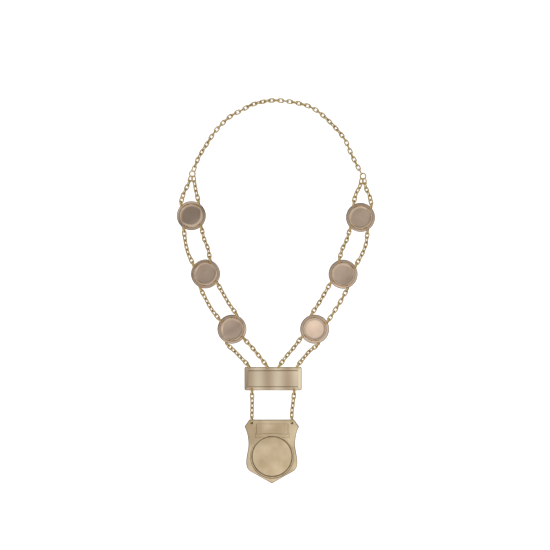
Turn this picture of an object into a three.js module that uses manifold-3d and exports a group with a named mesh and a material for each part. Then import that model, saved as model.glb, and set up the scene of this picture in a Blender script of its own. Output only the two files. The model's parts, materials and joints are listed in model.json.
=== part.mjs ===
// Carnival prince chain: a chain of office in gilt metal, laid out flat with its front up.
// Millimetres. +Z is up, +Y points to the neck, and z = 0 is the surface that the chain lies on.
// The origin is under the middle of the whole chain.
import * as THREE from 'three';
import { mergeVertices } from 'three/addons/utils/BufferGeometryUtils.js';
import Module from 'manifold-3d';

const wasm = await Module();
wasm.setup();

// Chain links, bent from round wire
const LINK_WIRE = 1.2;
const LINK_WIDTH = 5.6;
const LINK_FUSE = 0.15;        // how far neighbouring links sink into each other
const LINK_LEAN = 45;          // degrees that links lean to either side where the chain lies loose
const EYE_LINK_LEAN = 14;      // the link that passes through a standing eye
const HOLE_LINK_LEAN = 65;     // the link that passes through a hole in a lying plate
const CHAIN_HEIGHT = 2.45;     // middle of the wire eyes and of the short chains
const HOLE_LINK_HEIGHT = 2.75; // middle of the link in a hole of the shield

// Chains that are plain tubes here
const NECK_TUBE = 5.6;         // as thick as a link is wide
const NECK_HEIGHT = 2.9;
const SPLIT_TUBE = 4.2;        // as thick as a leaning link
const STEP_IN_DIAMETERS = 2.5; // length of one step of a tube

// Facets of everything round
const LINK_SIDES = { ring: 10, wire: 5 };
const EYE_SIDES = { ring: 8, wire: 4 };
const TUBE_SIDES = 8;
const DISC_SIDES = 24;
const HOLE_SIDES = 10;
const CURVE_STEPS = 4;
const WAIST = 0.01;            // nearer to the middle line than this, a point is on it

// Wire eyes soldered to the rims of the discs and the bar
const EYE = { radius: 1.9, wire: 1.4, sides: EYE_SIDES, stretch: 1.1 };
const EYE_REACH = 2.75;        // from the rim to the link that the eye holds
const EYE_HOLD = 1;            // from the middle of an eye to the link that it holds
const EYE_CLEARANCE = 2.9;     // from the held link to where a tube may begin

// Jump rings that join the neck chain to the straps
const JUMP_RING = { radius: 3.5, wire: 1.4, sides: LINK_SIDES, stretch: 0 };
const JUMP_RING_PLACE = { height: 2.4, lean: 26 };
const JUMP_RING_HOLD = { side: 1.1, down: 1.9, up: 2.2 };
const SPLIT_CLEARANCE = 4.6;
const NECK_CLEARANCE = 2.5;

// Discs
const DISC_RADIUS = 17;
const DISC_EDGE = 1.2;
const DISC_FIELD = { radius: 12.2, height: 1.5 };
const DISC_BEAD = { radius: 13, height: 2.1, foot: 13.9 };
const DISC_EYE_SIDE = 10.4;    // sideways from the middle line of the disc

// Name bar, with the eyes on its long edges
const BAR = { x: -3.3, y: -102.7, width: 67, height: 27.5, edge: 0.9, corner: 1.8 };
const BAR_BORDER = { ledge: 0.8, width: 4, rise: 0.7 };
const BAR_PANEL = { gap: 0.5, rise: 0.35 };
const BAR_EYES = {
  outer: { side: 29.5, end: 1, turn: 34 },
  inner: { side: 8.25, end: 1, turn: 34 },
  pendant: { side: 24.6, end: -1, turn: 0 },
};

// Shield, measured down from the middle of its top edge
const SHIELD = { x: -4.8, y: -150.4, thickness: 1.6, tilt: 1.35 };
const SHIELD_TOP_HALF = 26;
const SHIELD_EAR = { half: 31.9, down: 8.2 };
const SHIELD_HOLLOW = { half: 27.4, down: 16 };
const SHIELD_WAIST = { half: 27.2, down: 28.5, pull: 7.5 };
const SHIELD_BELLY = { half: 29.9, down: 50, pull: 8 };
const SHIELD_CORNER_DOWN = 57.8;
const SHIELD_SHOULDER = { half: 25, down: 60.6 };
const SHIELD_TIP_DOWN = 74.8;
const SHIELD_HOLE = { side: 23.5, down: 3.8, radius: 1.7 };
const SHIELD_RIM = { side: 0.3, down: 43, radius: 24.4, width: 1.2, rise: 0.4 };
const RIBBON = { side: 0.6, half: 18.6, top: 5.3, bottom: 17.3, arch: 1.2, rise: 0.5 };
const RIBBON_TAIL = { inner: 9.5, slant: 1, outer: 20, top: 15.5, bottom: 21, rise: 0.25 };
const RELIEF_ROOT = 0.4;       // how deep raised work is sunk into its plate

// Where the rings and discs lie, how far each disc is turned, and how far its upper and lower eyes are
// turned on it towards their chains, in degrees
const RINGS = {
  left: { x: -97.6, y: 136.7 },
  right: { x: 101.8, y: 133.9 },
};
const DISCS = {
  left: [
    { x: -98.9, y: 87.9, turn: 6.5, upperEyes: 0, lowerEyes: 8 },
    { x: -82.3, y: 19.8, turn: 17.5, upperEyes: 0, lowerEyes: 12 },
    { x: -51.4, y: -44.8, turn: 18.5, upperEyes: 12, lowerEyes: 22 },
  ],
  right: [
    { x: 99.0, y: 85.9, turn: -8.5, upperEyes: 0, lowerEyes: -4 },
    { x: 78.6, y: 19.5, turn: -20.5, upperEyes: 0, lowerEyes: -12 },
    { x: 45.3, y: -44.8, turn: -24.5, upperEyes: -8, lowerEyes: -20 },
  ],
};

// Way of the neck chain between its two rings
const NECK_WAY = [
  [-94, 146.8], [-89.5, 157], [-81.4, 170.3], [-69.4, 188], [-53.9, 203.2], [-40.2, 210.8],
  [-26.3, 218], [-5.4, 222.3], [16.1, 221], [37.3, 216], [51.5, 207.7], [67, 193.1],
  [80.4, 176.8], [88.8, 158.2], [98.4, 139.8],
];

// Strap chains. Span 1 leaves the ring and span 4 reaches the bar. The bows say how far the chain lies
// to the left of the straight line, going down, at one third and two thirds of its way.
const STRAPS = [
  { hand: 'left', lane: 'outer', span: 1, bowStart: 0, bowEnd: -0.8 },
  { hand: 'left', lane: 'inner', span: 1, bowStart: -0.3, bowEnd: -0.5 },
  { hand: 'left', lane: 'outer', span: 2, links: 7, bowStart: -1.8, bowEnd: -2.2 },
  { hand: 'left', lane: 'inner', span: 2, links: 7, bowStart: -0.5, bowEnd: 0.8 },
  { hand: 'left', lane: 'outer', span: 3, links: 7, bowStart: -1.1, bowEnd: -1.5 },
  { hand: 'left', lane: 'inner', span: 3, links: 7, bowStart: -0.6, bowEnd: -1 },
  { hand: 'left', lane: 'outer', span: 4, links: 6, bowStart: 0.5, bowEnd: 0.2 },
  { hand: 'left', lane: 'inner', span: 4, links: 7, bowStart: 0.5, bowEnd: 0.3 },
  { hand: 'right', lane: 'outer', span: 1, bowStart: -0.9, bowEnd: 0.6 },
  { hand: 'right', lane: 'inner', span: 1, bowStart: 0.4, bowEnd: -0.9 },
  { hand: 'right', lane: 'outer', span: 2, links: 7, bowStart: 2.8, bowEnd: 2.4 },
  { hand: 'right', lane: 'inner', span: 2, links: 7, bowStart: 0.6, bowEnd: -0.6 },
  { hand: 'right', lane: 'outer', span: 3, links: 7, bowStart: 0.6, bowEnd: 0.4 },
  { hand: 'right', lane: 'inner', span: 3, links: 7, bowStart: 0.4, bowEnd: 0.6 },
  { hand: 'right', lane: 'outer', span: 4, links: 6, bowStart: -1.6, bowEnd: -1 },
  { hand: 'right', lane: 'inner', span: 4, links: 7, bowStart: 0.4, bowEnd: -0.2 },
];
const PENDANTS = [
  { hand: 'left', links: 6, bowStart: 0.3, bowEnd: 0.2 },
  { hand: 'right', links: 6, bowStart: -0.4, bowEnd: -0.9 },
];

const UP = new THREE.Vector3(0, 0, 1);
const HAND_SIDE = { left: -1, right: 1 };
const radians = THREE.MathUtils.degToRad;

const gildedPlate = new THREE.MeshStandardMaterial({ color: 0xc9ae86, roughness: 0.35, metalness: 1 });
const gildedWire = new THREE.MeshStandardMaterial({ color: 0xa98d58, roughness: 0.3, metalness: 1 });

// Closed geometry as a solid that can be joined and cut
function solid(geometry) {
  const bare = geometry.clone();
  bare.deleteAttribute('normal');
  bare.deleteAttribute('uv');
  const welded = mergeVertices(bare);
  const index = welded.index.array;
  const corners = [];
  for (let i = 0; i < index.length; i += 3) {
    const [a, b, c] = index.slice(i, i + 3);
    if (a !== b && b !== c && c !== a) corners.push(a, b, c);
  }
  return new wasm.Manifold(new wasm.Mesh({
    numProp: 3,
    vertProperties: new Float32Array(welded.attributes.position.array),
    triVerts: new Uint32Array(corners),
  }));
}

function joined(solids) {
  return solids.reduce((whole, piece) => whole.add(piece));
}

function namedMesh(name, body, material) {
  const { vertProperties, triVerts } = body.getMesh();
  const geometry = new THREE.BufferGeometry();
  geometry.setAttribute('position', new THREE.BufferAttribute(vertProperties, 3));
  geometry.setIndex(new THREE.BufferAttribute(triVerts, 1));
  geometry.computeVertexNormals();
  const mesh = new THREE.Mesh(geometry, material);
  mesh.name = name;
  return mesh;
}

// Radius of the polygon that has the area of a round wire
function sectionRadius(wire, sides) {
  return (wire / 2) * Math.sqrt((2 * Math.PI) / (sides * Math.sin((2 * Math.PI) / sides)));
}

// Wire ring in the XY plane with a flat side at each end of Y, where it is pulled long. A corner or a flat
// of its section points to the middle. A section at the waist stays where it is.
function wireRing({ radius, wire, sides, stretch, cornerInside = false }) {
  const halfSide = Math.PI / sides.wire;
  const firstAngle = cornerInside ? Math.PI : Math.PI + halfSide;
  const reach = sectionRadius(wire, sides.wire);
  const section = [];
  for (let i = 0; i <= sides.wire; i += 1) {
    const angle = firstAngle + 2 * halfSide * (i % sides.wire);
    section.push(new THREE.Vector2(radius + reach * Math.cos(angle), reach * Math.sin(angle)));
  }
  const ring = new THREE.LatheGeometry(section, sides.ring, Math.PI / sides.ring).rotateX(Math.PI / 2);
  const position = ring.attributes.position;
  for (let i = 0; i < position.count; i += 1) {
    const y = position.getY(i);
    const pull = Math.abs(y) < WAIST ? 0 : Math.sign(y) * stretch;
    position.setY(i, y + pull);
  }
  return ring;
}

// Eye that stands on edge, holds a link at the given point and reaches out along +Y or -Y, turned about Z
function standingEye(hold, end, turn) {
  const eye = wireRing(EYE).rotateY(Math.PI / 2).translate(0, -end * EYE_HOLD, 0).rotateZ(radians(turn));
  return solid(eye.translate(hold.x, hold.y, hold.z));
}

// Curve from start to end through two points set off to the left of the straight line
function bowedWay(start, end, bowStart, bowEnd) {
  const along = end.clone().sub(start);
  const left = new THREE.Vector3(-along.y, along.x, 0).normalize();
  const point = (share, bow) => start.clone().addScaledVector(along, share).addScaledVector(left, bow);
  return new THREE.CatmullRomCurve3([start, point(1 / 3, bowStart), point(2 / 3, bowEnd), end]);
}

// Interlocking links along a way. The outermost wires lie at its two ends.
function linkChain(way, links, lastLean) {
  const length = way.getLength();
  const pitch = (length - 2 * sectionRadius(LINK_WIRE, LINK_SIDES.wire) + LINK_FUSE) / links;
  const halfLink = (length - (links - 1) * pitch) / 2;
  const radius = (LINK_WIDTH - LINK_WIRE) / 2;
  const stretch = halfLink - radius * Math.cos(Math.PI / LINK_SIDES.ring);
  const shape = { radius, wire: LINK_WIRE, sides: LINK_SIDES, stretch, cornerInside: true };
  const leans = Array(links).fill(LINK_LEAN);
  leans[0] = EYE_LINK_LEAN;
  leans[links - 1] = lastLean;
  return joined(leans.map((lean, i) => {
    const share = (halfLink + i * pitch) / length;
    const along = way.getTangentAt(share);
    const level = new THREE.Vector3().crossVectors(along, UP).normalize();
    const facing = new THREE.Vector3().crossVectors(level, along);
    facing.applyAxisAngle(along, radians(i % 2 === 0 ? lean : -lean));
    const width = new THREE.Vector3().crossVectors(along, facing);
    const place = new THREE.Matrix4().makeBasis(width, along, facing).setPosition(way.getPointAt(share));
    return solid(wireRing(shape).applyMatrix4(place));
  }));
}

// Plain tube along a way, cut short at both ends
function tube(way, diameter, startGap, endGap) {
  const wayLength = way.getLength();
  const length = wayLength - startGap - endGap;
  const steps = Math.round(length / (STEP_IN_DIAMETERS * diameter));
  const points = [];
  for (let i = 0; i <= steps; i += 1) {
    points.push(way.getPointAt((startGap + (length * i) / steps) / wayLength));
  }
  const section = new THREE.Shape();
  section.absarc(0, 0, diameter / 2, 0, 2 * Math.PI);
  const extrudePath = new THREE.CatmullRomCurve3(points);
  return solid(new THREE.ExtrudeGeometry(section, { steps, curveSegments: TUBE_SIDES / 2, extrudePath }));
}

// Where an eye of a disc holds its link, from the middle of the disc
function discHold(side, end) {
  const rim = Math.sqrt(DISC_RADIUS ** 2 - DISC_EYE_SIDE ** 2);
  return new THREE.Vector3(side * DISC_EYE_SIDE, end * (rim + EYE_REACH), CHAIN_HEIGHT);
}

// Disc with a raised bead round its field, and four standing eyes
function disc(upperEyes, lowerEyes) {
  const profile = [
    [0, 0],
    [DISC_RADIUS, 0],
    [DISC_RADIUS, DISC_EDGE],
    [DISC_BEAD.foot, DISC_FIELD.height],
    [DISC_BEAD.radius, DISC_BEAD.height],
    [DISC_FIELD.radius, DISC_FIELD.height],
    [0, DISC_FIELD.height],
  ].map(([radius, height]) => new THREE.Vector2(radius, height));
  const pieces = [solid(new THREE.LatheGeometry(profile, DISC_SIDES).rotateX(Math.PI / 2))];
  for (const side of [-1, 1]) {
    pieces.push(standingEye(discHold(side, 1), 1, upperEyes));
    pieces.push(standingEye(discHold(side, -1), -1, lowerEyes));
  }
  return joined(pieces);
}

// Where an eye of the bar holds its link, from the middle of the bar
function barHold(hand, lane) {
  const { side, end } = BAR_EYES[lane];
  return new THREE.Vector3(HAND_SIDE[hand] * side, end * (BAR.height / 2 + EYE_REACH), CHAIN_HEIGHT);
}

function rectangle(width, height) {
  const x = width / 2;
  const y = height / 2;
  return new THREE.Shape([[x, -y], [x, y], [-x, y], [-x, -y]].map((place) => new THREE.Vector2(...place)));
}

function roundedRectangle(width, height, corner) {
  const x = width / 2 - corner;
  const y = height / 2 - corner;
  const quarter = Math.PI / 2;
  const outline = new THREE.Shape();
  outline.absarc(x, y, corner, 0, quarter);
  outline.absarc(-x, y, corner, quarter, 2 * quarter);
  outline.absarc(-x, -y, corner, 2 * quarter, 3 * quarter);
  outline.absarc(x, -y, corner, 3 * quarter, 4 * quarter);
  return outline;
}

// Bar with a sloping border round a raised panel, and six standing eyes
function nameBar() {
  const curveSegments = CURVE_STEPS / 2;
  const base = new THREE.ExtrudeGeometry(roundedRectangle(BAR.width, BAR.height, BAR.corner), {
    depth: BAR.edge, bevelEnabled: false, curveSegments,
  });
  const innerWidth = BAR.width - 2 * BAR_BORDER.width;
  const innerHeight = BAR.height - 2 * BAR_BORDER.width;
  const slope = new THREE.ExtrudeGeometry(rectangle(innerWidth, innerHeight), {
    depth: BAR.edge - BAR_BORDER.rise, bevelSize: BAR_BORDER.width - BAR_BORDER.ledge,
    bevelThickness: BAR_BORDER.rise, bevelSegments: 1,
  }).translate(0, 0, BAR_BORDER.rise);
  const raised = BAR_BORDER.rise + BAR_PANEL.rise;
  const panel = new THREE.BoxGeometry(innerWidth - 2 * BAR_PANEL.gap, innerHeight - 2 * BAR_PANEL.gap, raised);
  panel.translate(0, 0, BAR.edge + raised / 2);
  const eyes = [];
  for (const hand of ['left', 'right']) {
    for (const [lane, { end, turn }] of Object.entries(BAR_EYES)) {
      eyes.push(standingEye(barHold(hand, lane), end, -HAND_SIDE[hand] * turn));
    }
  }
  return joined([solid(base), solid(slope), solid(panel), ...eyes]);
}

// Shield outline from its middle line, worked out on the right and mirrored
function shieldOutline() {
  const half = new THREE.Path();
  half.moveTo(SHIELD_TOP_HALF, 0);
  half.lineTo(SHIELD_EAR.half, -SHIELD_EAR.down);
  half.quadraticCurveTo(SHIELD_HOLLOW.half, -SHIELD_HOLLOW.down, SHIELD_WAIST.half, -SHIELD_WAIST.down);
  half.bezierCurveTo(
    SHIELD_WAIST.half, -SHIELD_WAIST.down - SHIELD_WAIST.pull,
    SHIELD_BELLY.half, -SHIELD_BELLY.down + SHIELD_BELLY.pull,
    SHIELD_BELLY.half, -SHIELD_BELLY.down,
  );
  half.quadraticCurveTo(
    SHIELD_BELLY.half, -SHIELD_CORNER_DOWN, SHIELD_SHOULDER.half, -SHIELD_SHOULDER.down,
  );
  const right = half.getPoints(CURVE_STEPS);
  const left = right.map(({ x, y }) => new THREE.Vector2(-x, y)).reverse();
  return new THREE.Shape([...right, new THREE.Vector2(0, -SHIELD_TIP_DOWN), ...left]);
}

function shieldHole(hand) {
  const hole = new THREE.Path();
  hole.absarc(HAND_SIDE[hand] * SHIELD_HOLE.side, -SHIELD_HOLE.down, SHIELD_HOLE.radius, 0, 2 * Math.PI);
  return hole;
}

// Raised rim round the field of the shield
function shieldRim() {
  const { side, down, radius, width, rise } = SHIELD_RIM;
  const ridge = [
    [radius - width / 2, -RELIEF_ROOT],
    [radius + width / 2, -RELIEF_ROOT],
    [radius, rise],
    [radius - width / 2, -RELIEF_ROOT],
  ].map(([x, y]) => new THREE.Vector2(x, y));
  const rim = new THREE.LatheGeometry(ridge, DISC_SIDES).rotateX(Math.PI / 2);
  return rim.translate(side, -down, SHIELD.thickness);
}

function raisedWork(outline, rise) {
  const work = new THREE.ExtrudeGeometry(outline, {
    depth: RELIEF_ROOT + rise, bevelEnabled: false, curveSegments: CURVE_STEPS,
  });
  return work.translate(RIBBON.side, 0, SHIELD.thickness - RELIEF_ROOT);
}

// Ribbon over the field, with an arched lower edge and a folded tail under each end
function ribbon() {
  const { half, top, bottom, arch, rise } = RIBBON;
  const band = new THREE.Shape();
  band.moveTo(-half, -bottom);
  band.quadraticCurveTo(0, -bottom + 2 * arch, half, -bottom);
  band.lineTo(half, -top);
  band.lineTo(-half, -top);
  const tails = [-1, 1].map((side) => new THREE.Shape([
    new THREE.Vector2(side * RIBBON_TAIL.inner, -RIBBON_TAIL.top),
    new THREE.Vector2(side * RIBBON_TAIL.outer, -RIBBON_TAIL.top),
    new THREE.Vector2(side * RIBBON_TAIL.outer, -RIBBON_TAIL.bottom),
    new THREE.Vector2(side * (RIBBON_TAIL.inner + RIBBON_TAIL.slant), -RIBBON_TAIL.bottom),
  ]));
  return [raisedWork(band, rise), ...tails.map((tail) => raisedWork(tail, RIBBON_TAIL.rise))];
}

function shield() {
  const outline = shieldOutline();
  outline.holes.push(shieldHole('left'), shieldHole('right'));
  const plate = new THREE.ExtrudeGeometry(outline, {
    depth: SHIELD.thickness, bevelEnabled: false, curveSegments: HOLE_SIDES / 2,
  });
  return joined([plate, shieldRim(), ...ribbon()].map(solid));
}

// Ends of the strap chains
function ringHold(hand, side) {
  const { x, y } = RINGS[hand];
  return new THREE.Vector3(x + side * JUMP_RING_HOLD.side, y - JUMP_RING_HOLD.down, CHAIN_HEIGHT);
}

function placedDiscHold(hand, number, side, end) {
  const { x, y, turn } = DISCS[hand][number - 1];
  return discHold(side, end).applyAxisAngle(UP, radians(turn)).add(new THREE.Vector3(x, y, 0));
}

function placedBarHold(hand, lane) {
  return barHold(hand, lane).add(new THREE.Vector3(BAR.x, BAR.y, 0));
}

function strapWay({ hand, lane, span, bowStart, bowEnd }) {
  const side = lane === 'outer' ? HAND_SIDE[hand] : -HAND_SIDE[hand];
  const start = span === 1 ? ringHold(hand, side) : placedDiscHold(hand, span - 1, side, -1);
  const end = span === 4 ? placedBarHold(hand, lane) : placedDiscHold(hand, span, side, 1);
  return bowedWay(start, end, bowStart, bowEnd);
}

function pendantWay({ hand, bowStart, bowEnd }) {
  const holeX = SHIELD.x + HAND_SIDE[hand] * SHIELD_HOLE.side;
  const end = new THREE.Vector3(holeX, SHIELD.y - SHIELD_HOLE.down, HOLE_LINK_HEIGHT);
  return bowedWay(placedBarHold(hand, 'pendant'), end, bowStart, bowEnd);
}

function neckWay() {
  const points = NECK_WAY.map(([x, y]) => new THREE.Vector3(x, y, NECK_HEIGHT));
  const hold = (hand, next) => {
    const middle = new THREE.Vector3(RINGS[hand].x, RINGS[hand].y, NECK_HEIGHT);
    const towards = next.clone().sub(middle).normalize();
    return middle.addScaledVector(towards, JUMP_RING_HOLD.up);
  };
  return new THREE.CatmullRomCurve3([hold('left', points[0]), ...points, hold('right', points.at(-1))]);
}

// The whole chain
const chain = new THREE.Group();
chain.add(namedMesh('neck_chain', tube(neckWay(), NECK_TUBE, NECK_CLEARANCE, NECK_CLEARANCE), gildedWire));

for (const hand of ['left', 'right']) {
  const ring = namedMesh(`${hand}_ring`, solid(wireRing(JUMP_RING)), gildedWire);
  ring.position.set(RINGS[hand].x, RINGS[hand].y, JUMP_RING_PLACE.height);
  ring.rotation.y = -HAND_SIDE[hand] * radians(JUMP_RING_PLACE.lean);
  chain.add(ring);
  DISCS[hand].forEach(({ x, y, turn, upperEyes, lowerEyes }, i) => {
    const plate = namedMesh(`${hand}_disc_${i + 1}`, disc(upperEyes, lowerEyes), gildedPlate);
    plate.position.set(x, y, 0);
    plate.rotation.z = radians(turn);
    chain.add(plate);
  });
}

for (const strap of STRAPS) {
  const way = strapWay(strap);
  const body = strap.links
    ? linkChain(way, strap.links, EYE_LINK_LEAN)
    : tube(way, SPLIT_TUBE, SPLIT_CLEARANCE, EYE_CLEARANCE);
  chain.add(namedMesh(`${strap.hand}_${strap.lane}_chain_${strap.span}`, body, gildedWire));
}

const bar = namedMesh('name_bar', nameBar(), gildedPlate);
bar.position.set(BAR.x, BAR.y, 0);
chain.add(bar);

for (const pendant of PENDANTS) {
  const body = linkChain(pendantWay(pendant), pendant.links, HOLE_LINK_LEAN);
  chain.add(namedMesh(`${pendant.hand}_pendant_chain`, body, gildedWire));
}

const shieldPlate = namedMesh('shield', shield(), gildedPlate);
shieldPlate.position.set(SHIELD.x, SHIELD.y, SHIELD_TIP_DOWN * Math.sin(radians(SHIELD.tilt)));
shieldPlate.rotation.x = radians(SHIELD.tilt);
chain.add(shieldPlate);

export default chain;
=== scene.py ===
"""Carnival prince chain: the looks of a gilt chain of office that lies flat, front up.

Metres. +Z is up, +Y points to the neck, and z = 0 is the surface that the chain lies on.
"""
import json
import math

import bmesh
import bpy
from bpy.props import FloatProperty, FloatVectorProperty, IntProperty, PointerProperty
from mathutils import Matrix, Vector
from mathutils.geometry import interpolate_bezier


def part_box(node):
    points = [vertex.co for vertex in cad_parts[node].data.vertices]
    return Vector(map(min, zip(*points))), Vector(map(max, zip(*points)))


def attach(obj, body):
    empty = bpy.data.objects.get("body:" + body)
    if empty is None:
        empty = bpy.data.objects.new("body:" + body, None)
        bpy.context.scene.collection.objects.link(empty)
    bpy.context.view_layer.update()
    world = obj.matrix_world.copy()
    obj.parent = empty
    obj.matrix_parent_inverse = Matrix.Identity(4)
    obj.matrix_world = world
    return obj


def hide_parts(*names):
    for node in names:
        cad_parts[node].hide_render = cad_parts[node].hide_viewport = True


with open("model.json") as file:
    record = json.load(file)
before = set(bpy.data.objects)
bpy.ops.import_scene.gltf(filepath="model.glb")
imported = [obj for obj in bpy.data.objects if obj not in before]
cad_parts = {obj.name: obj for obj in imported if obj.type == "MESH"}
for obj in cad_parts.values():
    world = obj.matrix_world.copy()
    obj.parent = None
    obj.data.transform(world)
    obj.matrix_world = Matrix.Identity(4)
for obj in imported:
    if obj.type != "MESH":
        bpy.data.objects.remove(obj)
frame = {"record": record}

bl_info = {
    "name": "Carnival Prince Chain",
    "version": (1, 0, 0),
    "blender": (4, 5, 0),
    "location": "View3D > Sidebar > Prince Chain",
    "description": "Dresses a gilt chain of office with links, discs, a name bar and a shield",
    "category": "Object",
}

UP = Vector((0, 0, 1))
FULL_TURN = 2 * math.pi
QUARTER_TURN = math.pi / 2
STAYING = Matrix.Identity(4)
HAND_SIDE = {"left": -1, "right": 1}
PLATE_SLOT = "gilt_plate"
WIRE_SLOT = "gilt_wire"

MOUNTS = {mount["name"]: mount for mount in frame["record"]["mounts"]}

# How far each disc is turned, and its upper and lower eyes on it, in degrees from the neck down
DISC_TURNS = {
    "left": [
        {"turn": 6.5, "upper_eyes": 0, "lower_eyes": 8},
        {"turn": 17.5, "upper_eyes": 0, "lower_eyes": 12},
        {"turn": 18.5, "upper_eyes": 12, "lower_eyes": 22},
    ],
    "right": [
        {"turn": -8.5, "upper_eyes": 0, "lower_eyes": -4},
        {"turn": -20.5, "upper_eyes": 0, "lower_eyes": -12},
        {"turn": -24.5, "upper_eyes": -8, "lower_eyes": -20},
    ],
}

# Way of the neck chain between its two rings
NECK_WAY = [
    (-0.0940, 0.1468), (-0.0895, 0.1570), (-0.0814, 0.1703), (-0.0694, 0.1880), (-0.0539, 0.2032),
    (-0.0402, 0.2108), (-0.0263, 0.2180), (-0.0054, 0.2223), (0.0161, 0.2210), (0.0373, 0.2160),
    (0.0515, 0.2077), (0.0670, 0.1931), (0.0804, 0.1768), (0.0888, 0.1582), (0.0984, 0.1398),
]

# Strap chains of each hand, span by span from the ring to the bar. The bows say how far a chain lies to
# the left of the straight line, going down, at one third and two thirds of its way. The roll is the lean
# of its middle links in degrees, and the next link stands square to it.
STRAPS = {
    "left": [
        {
            "outer": {"links": 6, "bows": (0, -0.0008), "roll": 20},
            "inner": {"links": 5, "bows": (-0.0003, -0.0005), "roll": 40},
        },
        {
            "outer": {"links": 7, "bows": (-0.0018, -0.0022), "roll": 45},
            "inner": {"links": 7, "bows": (-0.0005, 0.0008), "roll": 30},
        },
        {
            "outer": {"links": 7, "bows": (-0.0011, -0.0015), "roll": 45},
            "inner": {"links": 7, "bows": (-0.0006, -0.0010), "roll": 40},
        },
        {
            "outer": {"links": 6, "bows": (0.0005, 0.0002), "roll": 45},
            "inner": {"links": 7, "bows": (0.0005, 0.0003), "roll": 25},
        },
    ],
    "right": [
        {
            "outer": {"links": 6, "bows": (-0.0009, 0.0006), "roll": 35},
            "inner": {"links": 5, "bows": (0.0004, -0.0009), "roll": 45},
        },
        {
            "outer": {"links": 7, "bows": (0.0028, 0.0024), "roll": 40},
            "inner": {"links": 7, "bows": (0.0006, -0.0006), "roll": 30},
        },
        {
            "outer": {"links": 7, "bows": (0.0006, 0.0004), "roll": 20},
            "inner": {"links": 7, "bows": (0.0004, 0.0006), "roll": 35},
        },
        {
            "outer": {"links": 6, "bows": (-0.0016, -0.0010), "roll": 45},
            "inner": {"links": 7, "bows": (0.0004, -0.0002), "roll": 40},
        },
    ],
}
PENDANTS = {
    "left": {"links": 6, "bows": (0.0003, 0.0002), "roll": 45},
    "right": {"links": 6, "bows": (-0.0004, -0.0009), "roll": 45},
}

# Eyes of the bar: sideways from its middle, on its upper or lower edge, turned towards their chains
BAR_EYES = {
    "outer": {"side": 0.0295, "end": 1, "turn": 34},
    "inner": {"side": 0.00825, "end": 1, "turn": 34},
    "pendant": {"side": 0.0246, "end": -1, "turn": 0},
}


def length(text, metres):
    """A size that a user may change."""
    return FloatProperty(name=text, description=text, default=metres, unit="LENGTH", precision=5)


def degrees(text, angle):
    """An angle that a user may change, given in degrees."""
    return FloatProperty(name=text, description=text, default=math.radians(angle), subtype="ANGLE")


def share(text, value):
    """A strength or share that a user may change."""
    return FloatProperty(name=text, description=text, default=value, min=0)


def colour(text, rgb):
    """A colour that a user may change."""
    return FloatVectorProperty(name=text, description=text, default=rgb, subtype="COLOR", min=0, max=1)


def count(text, number):
    """A whole number that a user may change."""
    return IntProperty(name=text, description=text, default=number, min=3)


class LinkSizes(bpy.types.PropertyGroup):
    """Links, rings and eyes, all bent from round wire."""

    wire: length("Thickness of the wire of a link", 0.0016)
    width: length("Outer width of a link", 0.0058)
    ring_sides: count("Facets round a link", 16)
    wire_sides: count("Facets round the wire", 6)
    chain_height: length("Middle of the short chains at their ends", 0.0028)
    slack_height: length("Middle of the short chains where they lie loose", 0.0028)
    hole_height: length("Middle of the link in a hole of the shield", 0.00275)
    neck_height: length("Middle of the neck chain", 0.0029)
    neck_links: count("Links of the neck chain", 52)
    neck_roll: degrees("Lean of the neck chain's links", 14)
    neck_twist: degrees("How far that lean wanders along the neck chain", 24)
    eye_lean: degrees("Lean of a link that hangs in an eye", 14)
    hole_lean: degrees("Lean of a link that hangs in a hole of the shield", 65)
    eye_radius: length("Middle line of an eye", 0.0018)
    eye_wire: length("Thickness of the wire of an eye", 0.002)
    eye_stretch: length("Half of the straight length of an eye", 0.0011)
    eye_tilt: degrees("How far an eye leans from standing on edge", 22)
    eye_reach: length("From a rim to the link that its eye holds", 0.00275)
    eye_hold: length("From the middle of an eye to the link in it", 0.001)
    ring_radius: length("Middle line of a jump ring", 0.0035)
    ring_wire: length("Thickness of the wire of a jump ring", 0.0016)
    ring_lean: degrees("How far a jump ring leans outwards", 26)
    ring_side: length("Sideways from the middle of a ring to a strap", 0.0011)
    ring_down: length("Down from the middle of a ring to a strap", 0.0026)
    ring_up: length("Up from the middle of a ring to the neck chain", 0.0029)


class DiscSizes(bpy.types.PropertyGroup):
    """Round plates with a raised bead."""

    radius: length("Outer radius of a disc", 0.017)
    edge: length("Thickness of a disc at its rim", 0.0012)
    round_off: length("Rounding of the rim", 0.0006)
    groove: length("Middle of the groove outside the bead", 0.0141)
    groove_half: length("Half of the width of the groove", 0.00022)
    groove_depth: length("How deep the groove lies below the rim", 0.00012)
    bead: length("Middle of the bead", 0.0128)
    bead_width: length("Width of the bead", 0.001)
    bead_rise: length("Height of the bead above the field", 0.0006)
    cove: length("Where the field begins to rise to the bead", 0.0103)
    cove_rise: length("How far the field rises to the bead", 0.00018)
    eye_side: length("Sideways from the middle of a disc to its eyes", 0.0104)
    sides: count("Facets round a disc", 96)


class BarSizes(bpy.types.PropertyGroup):
    """Name bar with a sloping border round a raised panel."""

    width: length("Length of the bar from left to right", 0.067)
    height: length("Length of the bar from top to bottom", 0.0275)
    edge: length("Thickness of the bar at its rim", 0.0009)
    corner: length("Radius of the corners", 0.0018)
    ledge: length("Flat rim outside the slope", 0.0008)
    slope: length("Width of the sloping border", 0.0032)
    slope_rise: length("Height of the sloping border", 0.0007)
    groove: length("Width of the groove between border and panel", 0.0006)
    groove_depth: length("How deep that groove lies below the border", 0.0003)
    panel_rise: length("Height of the panel above the border", 0.00035)
    step: length("Width of the steps at the groove", 0.0001)
    round_off: length("Rounding of the outer edge", 0.0006)


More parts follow.
